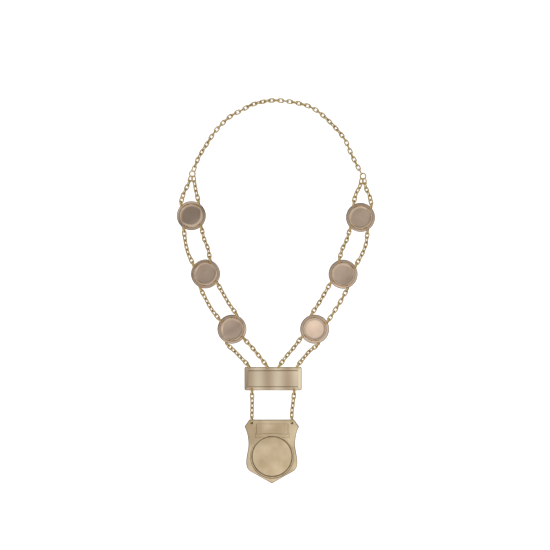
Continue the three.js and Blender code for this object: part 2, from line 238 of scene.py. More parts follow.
class ShieldSizes(bpy.types.PropertyGroup):
    """Eared shield, measured from the middle of its top edge."""

    middle: length("Down from the top edge to the middle of the field", 0.043)
    field_side: length("Sideways from the middle line to the middle of the field", 0.0003)
    thickness: length("Thickness of the plate", 0.0016)
    tip_down: length("From the top edge to the tip", 0.0748)
    hole_side: length("Sideways to the holes", 0.0235)
    hole_down: length("Down to the holes", 0.0038)
    hole_radius: length("Radius of the holes", 0.0009)
    rim: length("Middle of the rim round the field", 0.0246)
    rim_width: length("Width of the rim", 0.0009)
    rim_rise: length("Height of the rim", 0.00016)
    ribbon_half: length("Half of the ribbon's length", 0.0186)
    ribbon_side: length("Sideways to the middle of the ribbon", 0.0006)
    ribbon_top: length("Down to the ribbon's upper edge", 0.0047)
    ribbon_bottom: length("Down to the ribbon's lower corners", 0.0173)
    ribbon_arch: length("How far the lower edge is arched", 0.0012)
    ribbon_rise: length("Height of the ribbon", 0.0005)
    tail_inner: length("Sideways to the inner end of a tail", 0.0095)
    tail_outer: length("Sideways to the outer end of a tail", 0.02)
    tail_slant: length("How far the inner end of a tail slants", 0.001)
    tail_top: length("Down to the upper edge of a tail", 0.0155)
    tail_bottom: length("Down to the lower edge of a tail", 0.021)
    tail_rise: length("Height of a tail", 0.00025)
    relief_edge: length("Width of the rounded edge of ribbon and tails", 0.00045)
    root: length("How deep raised work is sunk into the plate", 0.0004)
    round_off: length("Rounding of the outer edge", 0.0007)
    field_rise: length("How far the field swells in its middle", 0.00012)
    # Painted shadow: the ring is a thin dark disc that shows as a dark crescent below the field's rim
    shade_out: length("How far the dull ring reaches out from under the rim", 0.0005)
    shade_down: length("How far the dull ring sits below the middle of the field", 0.0005)
    shade_rise: length("Height of the dull ring", 0.00004)


class GiltFinish(bpy.types.PropertyGroup):
    """Colours and gloss of the gilt metal; some of the colours are painted shade and painted highlights."""

    disc: colour("Rosy gilt of the discs", (0.76, 0.575, 0.45))
    disc_worn: colour("Where the gilt of the discs is rubbed", (0.88, 0.69, 0.56))
    bar: colour("Gilt of the bar", (0.68, 0.53, 0.38))
    # Painted highlight: pale upright bands across the bar that stand in for reflected light
    bar_worn: colour("Polished bands of the bar", (0.97, 0.84, 0.64))
    shield: colour("Gilt of the shield", (0.72, 0.56, 0.36))
    shield_worn: colour("Where the gilt of the shield is rubbed", (0.96, 0.79, 0.55))
    wire: colour("Gilt of the links", (0.84, 0.60, 0.25))
    wire_worn: colour("Where the gilt of the links is rubbed", (0.96, 0.77, 0.42))
    # Painted highlight: beads and rims get this paler gilt, with a rougher finish
    bead: colour("Bright gilt of beads and rims", (0.86, 0.68, 0.46))
    bead_worn: colour("Where beads and rims are rubbed", (0.98, 0.84, 0.62))
    # Painted shade: this dark gilt lies on rims, grooves, side walls and down-facing faces, with a rougher
    # finish
    edge: colour("Dull gilt of edges and grooves", (0.20, 0.14, 0.075))
    edge_worn: colour("Where edges and grooves are rubbed", (0.34, 0.25, 0.145))
    # Tarnishing and painted shade: these browns darken corners and creases, and the links where they touch
    plate_tarnish_and_shade: colour("Brown in the corners of the plates", (0.42, 0.31, 0.20))
    wire_tarnish_and_shade: colour("Brown where links touch", (0.30, 0.18, 0.06))
    plate_rough: share("Roughness of the plates", 0.045)
    bead_rough: share("Roughness of beads and rims", 0.34)
    wire_rough: share("Roughness of the links", 0.2)
    edge_rough: share("Roughness of edges and grooves", 0.38)
    rough_spread: share("How much streaks change the roughness", 0.3)
    scratch_bump: share("Strength of the fine scratches", 0.03)
    scratch_depth: length("Depth of the fine scratches", 0.00005)
    # How far the brown of tarnishing and painted shade reaches
    plate_reach: length("How far tarnish reaches out of corners", 0.0004)
    wire_reach: length("How far tarnish reaches along a link", 0.0009)


class StageSettings(bpy.types.PropertyGroup):
    """Camera, floor and light."""

    view_width: length("Width of the floor that the picture shows", 0.6435)
    view_x: length("Middle of the picture, sideways", -0.00105)
    view_y: length("Middle of the picture, upwards", 0.01855)
    camera_height: length("Camera above the floor", 1.6)
    floor_size: length("Edge of the floor", 12)
    floor_colour: colour("Pale floor", (0.93, 0.93, 0.93))
    floor_glow: share("Light of the floor itself", 0.85)
    sky_height: length("Height of the soft box above the floor", 2.2)
    sky_size: length("Edge of the soft box", 10)
    sky_tint: colour("Colour of the soft box", (1, 0.98, 0.94))
    spot_x: length("Bright spot of the soft box, sideways", 0.109)
    spot_y: length("Bright spot of the soft box, upwards", -0.150)
    spot_size: length("Radius of the bright spot", 0.14)
    spot_light: share("How much brighter the spot is", 0.75)
    sky_turn: degrees("Direction in which the soft box grows brighter", -56)
    wall_glow: share("Light of the pale walls all round", 0.42)
    room: colour("Light from below the floor", (0.16, 0.15, 0.13))


# Metal

# Sockets of a colour mix
MIX_FACTOR = 0
MIX_FIRST = 6
MIX_SECOND = 7
MIX_RESULT = 2

# Openness of a corner that is fully brown, tarnished and in painted shade, and of one that is left unshaded
CORNER_CLOSED = 0.25
CORNER_OPEN = 0.8
CORNER_SAMPLES = 8

# Rubbed patches: clouds on discs and shield, specks on wire, beads and edges; on the bar, upright bands
# that are a painted highlight
CLOUDS = {"kind": "ShaderNodeTexNoise", "scale": 45.0, "detail": 2.0}
UPRIGHT_HIGHLIGHT_BANDS = {
    "kind": "ShaderNodeTexWave", "scale": 13.4, "phase_offset": 2.47, "distortion": 0.8, "detail": 1.0,
    "detail_scale": 0.6,
}
SPECKS = {"kind": "ShaderNodeTexNoise", "scale": 260.0, "detail": 2.0}

# Part of a pattern's range over which the metal goes from its plain colour to the rubbed colour, which on
# the bar is a painted highlight
CLOUD_SPREAD = (0.36, 0.64)
BAND_SPREAD = (0, 1)

# Fine streaks to the metre along X, Y and Z
BRUSHED = (3000, 300, 3000)
EVEN = (900, 900, 900)
STREAKS = {"kind": "ShaderNodeTexNoise", "scale": 1.0, "detail": 2.0}

# Wear and painted light of each kind of gilt, with the names of the settings for its brown of tarnishing
# and painted shade, its reach and its roughness
POLISHED = {
    "tarnish_and_shade": "plate_tarnish_and_shade", "reach": "plate_reach", "rough": "plate_rough", "patches": CLOUDS,
    "spread": CLOUD_SPREAD, "brushing": BRUSHED,
}
SPECKLED = {**POLISHED, "patches": SPECKS, "brushing": EVEN}
WEAR_AND_PAINTED_LIGHT = {
    "disc": POLISHED,
    "bar": {**POLISHED, "patches": UPRIGHT_HIGHLIGHT_BANDS, "spread": BAND_SPREAD},
    "shield": POLISHED,
    "wire": {**SPECKLED, "tarnish_and_shade": "wire_tarnish_and_shade", "reach": "wire_reach", "rough": "wire_rough"},
    # Beads carry a painted highlight and edges a painted shade in their colours
    "bead": {**SPECKLED, "rough": "bead_rough"},
    "edge": {**SPECKLED, "tarnish_and_shade": "wire_tarnish_and_shade", "rough": "edge_rough"},
}


def set_socket(tree, socket, value):
    """Set an input to a value, or link it to an output."""
    if isinstance(value, bpy.types.NodeSocket):
        tree.links.new(value, socket)
    else:
        socket.default_value = value


def add_node(tree, kind, **values):
    """New shader node with some of its settings or inputs set."""
    node = tree.nodes.new(kind)
    for name, value in values.items():
        if hasattr(node, name):
            setattr(node, name, value)
        else:
            set_socket(tree, node.inputs[name.replace("_", " ").title()], value)
    return node


def mix_colours(tree, factor, first, second):
    """Mix of two colours or outputs by a factor output."""
    mix = add_node(tree, "ShaderNodeMix", data_type="RGBA")
    for number, value in ((MIX_FACTOR, factor), (MIX_FIRST, first), (MIX_SECOND, second)):
        set_socket(tree, mix.inputs[number], value)
    return mix.outputs[MIX_RESULT]


def opaque(rgb):
    """Colour with full alpha."""
    return (*rgb, 1)


def gilt(kind):
    """One kind of gilt, made once: rubbed patches (upright bands of painted highlight on the bar), fine
    streaks, and brown corners, tarnished and in painted shade.
    """
    name = f"{kind}_gilt"
    known = bpy.data.materials.get(name)
    if known:
        return known
    finish = bpy.context.scene.chain_finish
    wear_and_painted_light = WEAR_AND_PAINTED_LIGHT[kind]
    material = bpy.data.materials.new(name)
    material.use_nodes = True
    tree = material.node_tree
    shader = tree.nodes["Principled BSDF"]
    shader.inputs["Metallic"].default_value = 1
    place = add_node(tree, "ShaderNodeTexCoord").outputs["Object"]

    # Patches mix in the paler colour: rubbing on most gilt, and on the bar upright bands of painted
    # highlight
    patch = add_node(tree, **wear_and_painted_light["patches"], vector=place)
    dull_end, worn_and_sheen_end = wear_and_painted_light["spread"]
    contrast = add_node(
        tree, "ShaderNodeMapRange", value=patch.outputs["Fac"], from_min=dull_end, from_max=worn_and_sheen_end)
    base = opaque(getattr(finish, kind))
    worn_and_sheen = opaque(getattr(finish, f"{kind}_worn"))
    rubbed = mix_colours(tree, contrast.outputs["Result"], base, worn_and_sheen)

    # Painted shade: ambient occlusion browns the gilt in corners, creases and where links touch, along with
    # tarnishing
    reach = getattr(finish, wear_and_painted_light["reach"])
    corners = add_node(tree, "ShaderNodeAmbientOcclusion", samples=CORNER_SAMPLES, distance=reach)
    open_share = add_node(
        tree, "ShaderNodeMapRange", value=corners.outputs["AO"], from_min=CORNER_CLOSED,
        from_max=CORNER_OPEN)
    tarnish_and_shade = opaque(getattr(finish, wear_and_painted_light["tarnish_and_shade"]))
    tarnished_and_shaded = mix_colours(tree, open_share.outputs["Result"], tarnish_and_shade, rubbed)
    tree.links.new(tarnished_and_shaded, shader.inputs["Base Color"])

    stretch = add_node(tree, "ShaderNodeMapping", vector=place, scale=wear_and_painted_light["brushing"])
    streaks = add_node(tree, **STREAKS, vector=stretch.outputs["Vector"]).outputs["Fac"]
    rough = getattr(finish, wear_and_painted_light["rough"])
    gloss = add_node(
        tree, "ShaderNodeMapRange", value=streaks, to_min=rough * (1 - finish.rough_spread),
        to_max=rough * (1 + finish.rough_spread))
    tree.links.new(gloss.outputs["Result"], shader.inputs["Roughness"])
    scratches = add_node(
        tree, "ShaderNodeBump", strength=finish.scratch_bump, distance=finish.scratch_depth)
    tree.links.new(streaks, scratches.inputs["Height"])
    tree.links.new(scratches.outputs["Normal"], shader.inputs["Normal"])
    return material


# Shapes

# Corners closer than this become one
MERGE = 1e-6

# Materials of a plate beside its own gilt, which comes first: wire, rough dark gilt that is painted shade,
# and rough pale gilt that is painted highlight
WIRE = 1
DULL_AND_SHADED = 2
ROUGH_AND_HIGHLIT = 3

# Edges of a plate that bend more than this stay sharp, and its large faces stay flat
SHARP = math.radians(25)
FLAT_WEIGHT = 100

# How far from the middle line of a ring its ends begin
WAIST = 1e-5

# Points on each curved stretch of a way
WAY_STEPS = 12


def new_object(name, bm):
    """Object of a bmesh that is no longer needed."""
    mesh = bpy.data.meshes.new(name)
    bm.to_mesh(mesh)
    bm.free()
    thing = bpy.data.objects.new(name, mesh)
    bpy.context.collection.objects.link(thing)
    return thing


def finished_piece(name, bm, slot, nodes, *kinds):
    """Piece in some kinds of gilt that rides on the part and stands for its solids."""
    bmesh.ops.remove_doubles(bm, verts=bm.verts, dist=MERGE)
    bmesh.ops.recalc_face_normals(bm, faces=bm.faces)
    for edge in bm.edges:
        round_wire = kinds[edge.link_faces[0].material_index] == "wire"
        edge.smooth = round_wire or (edge.smooth and edge.calc_face_angle(0) < SHARP)
    piece = new_object(name, bm)
    faces = piece.data.polygons
    faces.foreach_set("use_smooth", [True] * len(faces))
    for kind in kinds:
        piece.data.materials.append(gilt(kind))
    if slot == PLATE_SLOT:
        flats = piece.modifiers.new("flat_faces_stay_flat", "WEIGHTED_NORMAL")
        flats.weight = FLAT_WEIGHT
        flats.keep_sharp = True
    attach(piece, "root")
    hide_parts(*nodes)


def as_mesh(bm):
    """Mesh of a bmesh that is no longer needed."""
    bmesh.ops.recalc_face_normals(bm, faces=bm.faces)
    mesh = bpy.data.meshes.new("shape")
    bm.to_mesh(mesh)
    bm.free()
    return mesh


def of_type(made, kind):
    """Vertices, edges or faces among what an operator made."""
    return [item for item in made["geom"] if isinstance(item, kind)]


def wire_ring(radius, wire, stretch):
    """Mesh of a wire ring in the XY plane, pulled long in Y."""
    sizes = bpy.context.scene.chain_links
    bm = bmesh.new()
    section = bmesh.ops.create_circle(bm, segments=sizes.wire_sides, radius=wire / 2)["verts"]
    bmesh.ops.rotate(bm, verts=section, matrix=Matrix.Rotation(QUARTER_TURN, 3, "X"))
    bmesh.ops.translate(bm, verts=section, vec=(radius, 0, 0))
    bmesh.ops.spin(
        bm, geom=bm.verts[:] + bm.edges[:], axis=UP, cent=(0, 0, 0), angle=FULL_TURN,
        steps=sizes.ring_sides, use_merge=True)
    for end in (-1, 1):
        half = [vertex for vertex in bm.verts if end * vertex.co.y > WAIST]
        bmesh.ops.translate(bm, verts=half, vec=(0, end * stretch, 0))
    return as_mesh(bm)


def lay(bm, shape, place, material=None):
    """Add a copy of a finished mesh to a bmesh at a place, in one material or its own ones."""
    known_vertices = set(bm.verts)
    known_faces = set(bm.faces)
    bm.from_mesh(shape)
    added = [vertex for vertex in bm.verts if vertex not in known_vertices]
    bmesh.ops.transform(bm, matrix=place, verts=added)
    if material is not None:
        for face in bm.faces:
            if face not in known_faces:
                face.material_index = material


def lay_once(bm, shape, place, material=None):
    """Add the shape of another bmesh that is no longer needed."""
    mesh = as_mesh(shape)
    lay(bm, mesh, place, material)
    bpy.data.meshes.remove(mesh)


def smooth_way(points):
    """Close points on a smooth curve through the given ones."""
    first = 2 * points[0] - points[1]
    last = 2 * points[-1] - points[-2]
    line = [first, *points, last]
    way = [points[0]]
    for before, start, end, after in zip(line, line[1:], line[2:], line[3:]):
        leaving = start + (end - before) / 6
        arriving = end - (after - start) / 6
        way += interpolate_bezier(start, leaving, arriving, end, WAY_STEPS)[1:]
    return way


def way_length(way):
    """Length of a way."""
    return sum((end - start).length for start, end in zip(way, way[1:]))


def spot(way, distance):
    """Point and direction at a distance along a way."""
    for start, end in zip(way, way[1:]):
        step = (end - start).length
        if distance <= step:
            break
        distance -= step
    direction = (end - start).normalized()
    return start + direction * distance, direction


def link_place(point, direction, lean):
    """Matrix that lays a link along a direction, leaning by an angle from lying flat."""
    level = direction.cross(UP).normalized()
    facing = Matrix.Rotation(lean, 3, direction) @ level.cross(direction)
    width = direction.cross(facing)
    turned = Matrix((width, direction, facing)).transposed()
    return Matrix.Translation(point) @ turned.to_4x4()


def link_chain(way, leans):
    """Bmesh of interlocking links, the outermost wires at the two ends of the way."""
    sizes = bpy.context.scene.chain_links
    total = way_length(way)
    pitch = (total - sizes.wire) / len(leans)
    middle = pitch + sizes.wire
    radius = (sizes.width - sizes.wire) / 2
    shape = wire_ring(radius, sizes.wire, middle / 2 - radius)
    bm = bmesh.new()
    for i, lean in enumerate(leans):
        lay(bm, shape, link_place(*spot(way, middle / 2 + i * pitch), lean))
    bpy.data.meshes.remove(shape)
    return bm


def rolled(chain, first, last):
    """Leans of the links of a short chain, with those of its first and last link."""
    roll = math.radians(chain["roll"])
    leans = [roll - QUARTER_TURN * (i % 2) for i in range(chain["links"])]
    leans[0] = first
    leans[-1] = last if chain["links"] % 2 else -last
    return leans


def bowed_way(start, end, bows, height):
    """Way from start to end through two points set off to the left of the straight line."""
    along = end - start
    left = UP.cross(along).normalized()
    loose = [start + along * (i / 3) + left * bow for i, bow in enumerate(bows, 1)]
    for point in loose:
        point.z = height
    return smooth_way([start, *loose, end])


# Where things are


def mount_point(name):
    """Point of one of the part's mounts."""
    return Vector(MOUNTS[name]["pos_m"])


def ring_middle(hand):
    """Middle of a jump ring."""
    low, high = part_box(f"{hand}_ring")
    return (Vector(low) + Vector(high)) / 2


def disc_place(hand, number):
    """Matrix of a disc on the floor."""
    point = mount_point(f"{hand}_disc_{number}_field")
    turn = math.radians(DISC_TURNS[hand][number - 1]["turn"])
    return Matrix.Translation((point.x, point.y, 0)) @ Matrix.Rotation(turn, 4, "Z")


def disc_hold(side, end):
    """Where an eye of a disc holds its link, from the middle of the disc."""
    links = bpy.context.scene.chain_links
    discs = bpy.context.scene.chain_discs
    rim = math.sqrt(discs.radius ** 2 - discs.eye_side ** 2)
    return Vector((side * discs.eye_side, end * (rim + links.eye_reach), links.chain_height))


def bar_place():
    """Matrix of the bar on the floor."""
    point = mount_point("name_panel")
    return Matrix.Translation((point.x, point.y, 0))


def bar_hold(hand, lane):
    """Where an eye of the bar holds its link, from the middle of the bar."""
    links = bpy.context.scene.chain_links
    reach = bpy.context.scene.chain_bar.height / 2 + links.eye_reach
    eye = BAR_EYES[lane]
    return Vector((HAND_SIDE[hand] * eye["side"], eye["end"] * reach, links.chain_height))


def shield_place():
    """Matrix of the shield: its tip rests on the floor and its top edge on the chains."""
    sizes = bpy.context.scene.chain_shield
    field = MOUNTS["shield_field"]
    tilt = math.atan2(-field["axis"][1], field["axis"][2])
    turned = Matrix.Rotation(tilt, 4, "X")
    middle = Vector((sizes.field_side, -sizes.middle, sizes.thickness))
    return Matrix.Translation(Vector(field["pos_m"]) - turned.to_3x3() @ middle) @ turned


def strap_way(hand, lane, span, bows):
    """Way of one strap chain."""
    links = bpy.context.scene.chain_links
    side = HAND_SIDE[hand] if lane == "outer" else -HAND_SIDE[hand]
    if span == 1:
        start = ring_middle(hand) + Vector((side * links.ring_side, -links.ring_down, 0))
    else:
        start = disc_place(hand, span - 1) @ disc_hold(side, -1)
    if span == len(STRAPS[hand]):
        end = bar_place() @ bar_hold(hand, lane)
    else:
        end = disc_place(hand, span) @ disc_hold(side, 1)
    return bowed_way(start, end, bows, links.slack_height)


def pendant_way(hand, bows):
    """Way of a chain from the bar to the shield."""
    links = bpy.context.scene.chain_links
    sizes = bpy.context.scene.chain_shield
    hole = shield_place() @ Vector((HAND_SIDE[hand] * sizes.hole_side, -sizes.hole_down, 0))
    hole.z = links.hole_height
    return bowed_way(bar_place() @ bar_hold(hand, "pendant"), hole, bows, links.slack_height)


def neck_way():
    """Way of the neck chain from ring to ring."""
    links = bpy.context.scene.chain_links
    points = [Vector((x, y, links.neck_height)) for x, y in NECK_WAY]
    holds = []
    for hand, towards in (("left", points[0]), ("right", points[-1])):
        middle = ring_middle(hand)
        middle.z = links.neck_height
        holds.append(middle + (towards - middle).normalized() * links.ring_up)
    return smooth_way([holds[0], *points, holds[1]])


# Plates

# Middle of a disc's rounded edge, as a share of the rounding
EDGE_BEND = 0.3

# How far the field has risen where its cove bends, as a share of its rise
COVE_BEND = 0.6

# Points or segments on curved outlines, ridges, the swelling field, holes and rounded edges
CURVE_STEPS = 9
RIDGE_STEPS = 8
SWELL_STEPS = 8
HOLE_SIDES = 24
CORNER_SEGMENTS = 6
RIM_SEGMENTS = 3
RELIEF_SEGMENTS = 2

# The normal of a steep face rises less than the first, and that of a slanted one leans more than the second
STEEP = 0.5
SLANTED = 0.3


def add_eye(bm, hold, end, turn):
    """Wire eye that stands on edge, holds a link at a point and is soldered to a plate."""
    sizes = bpy.context.scene.chain_links
    shape = wire_ring(sizes.eye_radius, sizes.eye_wire, sizes.eye_stretch)
    upright = Matrix.Rotation(QUARTER_TURN - sizes.eye_tilt, 4, "Y")
    inwards = Matrix.Translation((0, -end * sizes.eye_hold, 0))
    turned = Matrix.Rotation(math.radians(turn), 4, "Z")
    lay(bm, shape, Matrix.Translation(hold) @ turned @ inwards @ upright, WIRE)
    bpy.data.meshes.remove(shape)


def turned_shape(profile, sides):
    """Bmesh of a profile of radii and heights spun round Z."""
    bm = bmesh.new()
    corners = [bm.verts.new((radius, 0, height)) for radius, height in profile]
    edges = [bm.edges.new(pair) for pair in zip(corners, corners[1:])]
    bmesh.ops.spin(
        bm, geom=corners + edges, axis=UP, cent=(0, 0, 0), angle=FULL_TURN, steps=sides, use_merge=True)
    bmesh.ops.remove_doubles(bm, verts=bm.verts, dist=MERGE)
    return bm


def rounded(middle, height, width, rise):
    """Profile points over a rounded ridge, from outside to inside."""
    points = []
    for i in range(RIDGE_STEPS + 1):
        angle = math.pi * i / RIDGE_STEPS
        points.append((middle + width / 2 * math.cos(angle), height + rise * math.sin(angle)))
    return points


def finish_ring(bm, inner, outer, material):
    """Give the faces of a turned shape between two radii a material."""
    for face in bm.faces:
        if inner < face.calc_center_median().to_2d().length < outer:
            face.material_index = material


def disc_profile():
    """Radii and heights of a disc from the middle of its back to the middle of its field."""
    sizes = bpy.context.scene.chain_discs
    field = mount_point("left_disc_1_field").z
    top = sizes.edge
    round_off = sizes.round_off
    bend = EDGE_BEND * round_off
    inner_foot = sizes.bead - sizes.bead_width / 2
    brim = field + sizes.cove_rise
    return [
        (0, 0),
        (sizes.radius - round_off, 0),
        (sizes.radius - bend, bend),
        (sizes.radius, round_off),
        (sizes.radius, top - round_off),
        (sizes.radius - bend, top - bend),
        (sizes.radius - round_off, top),
        (sizes.groove + sizes.groove_half, top),
        (sizes.groove, top - sizes.groove_depth),
        (sizes.groove - sizes.groove_half, top),
        *rounded(sizes.bead, brim, sizes.bead_width, sizes.bead_rise - sizes.cove_rise),
        (inner_foot - round_off, field + COVE_BEND * sizes.cove_rise),
        (sizes.cove, field),
        (0, field),
    ]


def disc(hand, number):
    """One disc with its four eyes."""
    turns = DISC_TURNS[hand][number - 1]
    sizes = bpy.context.scene.chain_discs
    bm = turned_shape(disc_profile(), sizes.sides)
    bead_half = sizes.bead_width / 2
    # Painted shade on the rounded rim and in the groove, painted highlight on the bead
    finish_ring(bm, sizes.radius - sizes.round_off, sizes.radius, DULL_AND_SHADED)
    finish_ring(bm, sizes.groove - sizes.groove_half, sizes.groove, DULL_AND_SHADED)
    finish_ring(bm, sizes.bead - bead_half, sizes.bead + bead_half, ROUGH_AND_HIGHLIT)
    for side in (-1, 1):
        add_eye(bm, disc_hold(side, 1), 1, turns["upper_eyes"])
        add_eye(bm, disc_hold(side, -1), -1, turns["lower_eyes"])
    bmesh.ops.transform(bm, matrix=disc_place(hand, number), verts=bm.verts)
    name = f"{hand}_disc_{number}"
    finished_piece(f"{name}_plate", bm, PLATE_SLOT, [name], "disc", "wire", "edge", "bead")


def block(width, height, low, high):
    """Bmesh of a block that stands on the middle of the floor."""
    bm = bmesh.new()
    bmesh.ops.create_cube(bm, size=1)
    bmesh.ops.scale(bm, verts=bm.verts, vec=(width, height, high - low))
    bmesh.ops.translate(bm, verts=bm.verts, vec=(0, 0, (low + high) / 2))
    bm.normal_update()
    return bm


def rounded_edges(bm, edges, offset, segments, material=0):
    """Round some edges off and give the rounding a material."""
    made = bmesh.ops.bevel(
        bm, geom=edges, offset=offset, offset_type="OFFSET", affect="EDGES", segments=segments,
        profile=0.5, material=-1)
    for face in made["faces"]:
        face.material_index = material
    bm.normal_update()


def top_face(bm):
    """Highest face of a bmesh."""
    return max(bm.faces, key=lambda face: face.calc_center_median().z)


def bar_base():
    """Rounded plate under the border of the bar."""
    sizes = bpy.context.scene.chain_bar
    bm = block(sizes.width, sizes.height, 0, sizes.edge)
    upright = [edge for edge in bm.edges if edge.verts[0].co.z != edge.verts[1].co.z]
    rounded_edges(bm, upright, sizes.corner, CORNER_SEGMENTS)
    # Painted shade: the rounded top edge gets the dark gilt
    rounded_edges(bm, list(top_face(bm).edges), sizes.round_off, RIM_SEGMENTS, DULL_AND_SHADED)
    return bm


def bar_relief():
    """Sloping border and panel, inset step by step from a block, with painted shade in the groove on its
    long sides.
    """
    sizes = bpy.context.scene.chain_bar
    bm = block(sizes.width - 2 * sizes.ledge, sizes.height - 2 * sizes.ledge, sizes.edge / 2, sizes.edge)
    top = top_face(bm)
    long_sides = sizes.height / 4
    # Painted shade: the groove on the long sides gets the dark gilt
    steps = [
        (sizes.slope, sizes.slope_rise, 0),
        (sizes.step, -sizes.groove_depth, DULL_AND_SHADED),
        (sizes.groove, 0, DULL_AND_SHADED),
        (sizes.step, sizes.groove_depth + sizes.panel_rise, 0),
    ]
    for inwards, upwards, material in steps:
        made = bmesh.ops.inset_region(
            bm, faces=[top], thickness=inwards, depth=upwards, use_even_offset=True, use_boundary=True)
        for face in made["faces"]:
            if abs(face.calc_center_median().y) > long_sides:
                face.material_index = material
        bm.normal_update()
    for edge in bm.edges:
        edge.smooth = False
    return bm


def name_bar():
    """The bar with its six eyes."""
    bm = bmesh.new()
    for make in (bar_base, bar_relief):
        lay_once(bm, make(), STAYING)
    for hand in HAND_SIDE:
        for lane, eye in BAR_EYES.items():
            add_eye(bm, bar_hold(hand, lane), eye["end"], -HAND_SIDE[hand] * eye["turn"])
    bmesh.ops.transform(bm, matrix=bar_place(), verts=bm.verts)
    finished_piece("name_bar_plate", bm, PLATE_SLOT, ["name_bar"], "bar", "wire", "edge")


def quarter_curve(start, pull, end):
    """Points of a curve with one handle, without its start."""
    leaving = start + (pull - start) * 2 / 3
    arriving = end + (pull - end) * 2 / 3
    return interpolate_bezier(start, leaving, arriving, end, CURVE_STEPS)[1:]


def shield_outline():
    """Outline of the shield, worked out on the right of its middle line and mirrored."""
    sizes = bpy.context.scene.chain_shield
    top = Vector((0.026, 0))
    ear = Vector((0.0319, -0.0082))
    hollow = Vector((0.0274, -0.016))
    waist = Vector((0.0272, -0.0285))
    belly = Vector((0.0299, -0.050))
    corner = Vector((0.0299, -0.0578))
    shoulder = Vector((0.025, -0.0606))
    fall = Vector((0, -0.0078))
    right = [top, ear, *quarter_curve(ear, hollow, waist)]
    right += interpolate_bezier(waist, waist + fall, belly - fall, belly, CURVE_STEPS)[1:]
    right += quarter_curve(belly, corner, shoulder)
    tip = Vector((0, -sizes.tip_down))
    left = [Vector((-point.x, point.y)) for point in reversed(right)]
    return [point.to_2d() for point in [*right, tip, *left]]


def outline_edges(bm, outline, height):
    """Closed run of edges through flat points."""
    corners = [bm.verts.new((point[0], point[1], height)) for point in outline]
    return [bm.edges.new(pair) for pair in zip(corners, corners[1:] + corners[:1])]


def raise_outline(bm, edges, rise, dissolve):
    """Fill flat outlines, raise them to a thickness and return the raised corners."""
    base = bmesh.ops.triangle_fill(bm, use_beauty=True, use_dissolve=dissolve, edges=edges, normal=UP)
    faces = of_type(base, bmesh.types.BMFace)
    grown = bmesh.ops.extrude_face_region(bm, geom=faces, use_keep_orig=True)
    raised = of_type(grown, bmesh.types.BMVert)
    bmesh.ops.translate(bm, verts=raised, vec=(0, 0, rise))
    return set(raised)


def is_steep(face):
    """Whether a face stands more than it lies."""
    return abs(face.normal.z) < STEEP


def upper_rim(bm, raised):
    """Edges between raised corners that border on a steep face."""
    edges = [edge for edge in bm.edges if all(vertex in raised for vertex in edge.verts)]
    return [edge for edge in edges if any(is_steep(face) for face in edge.link_faces)]


def raised_work(bm, outline, rise):
    """Raised work on the shield, sunk into its plate and rounded along its upper edge."""
    sizes = bpy.context.scene.chain_shield
    work = bmesh.new()
    edges = outline_edges(work, outline, sizes.thickness - sizes.root)
    raised = raise_outline(work, edges, sizes.root + rise, True)
    work.normal_update()
    rounded_edges(work, upper_rim(work, raised), sizes.relief_edge, RELIEF_SEGMENTS)
    # Painted shade: faces that face down the shield, and faces that face outwards from the ribbon's middle,
    # get the dark gilt
    for face in work.faces:
        outwards = face.normal.x * (face.calc_center_median().x - sizes.ribbon_side)
        if face.normal.y < -SLANTED or (outwards > 0 and abs(face.normal.x) > SLANTED):
            face.material_index = DULL_AND_SHADED
    lay_once(bm, work, STAYING)


def hole_points(middle, radius):
    """Points of a round hole."""
    turns = [FULL_TURN * i / HOLE_SIDES for i in range(HOLE_SIDES)]
    return [Vector((middle[0] + radius * math.cos(a), middle[1] + radius * math.sin(a))) for a in turns]


def shield_plate():
    """Bmesh of the pierced plate with a rounded outer edge."""
    sizes = bpy.context.scene.chain_shield
    bm = bmesh.new()
    edges = outline_edges(bm, shield_outline(), 0)
    for side in (-1, 1):
        middle = (side * sizes.hole_side, -sizes.hole_down)
        edges += outline_edges(bm, hole_points(middle, sizes.hole_radius), 0)
    raised = raise_outline(bm, edges, sizes.thickness, False)
    bmesh.ops.recalc_face_normals(bm, faces=bm.faces)
    # Painted shade: the rounded rim and the steep side walls get the dark gilt
    rounded_edges(bm, upper_rim(bm, raised), sizes.round_off, RIM_SEGMENTS, DULL_AND_SHADED)
    for face in bm.faces:
        if is_steep(face):
            face.material_index = DULL_AND_SHADED
    return bm


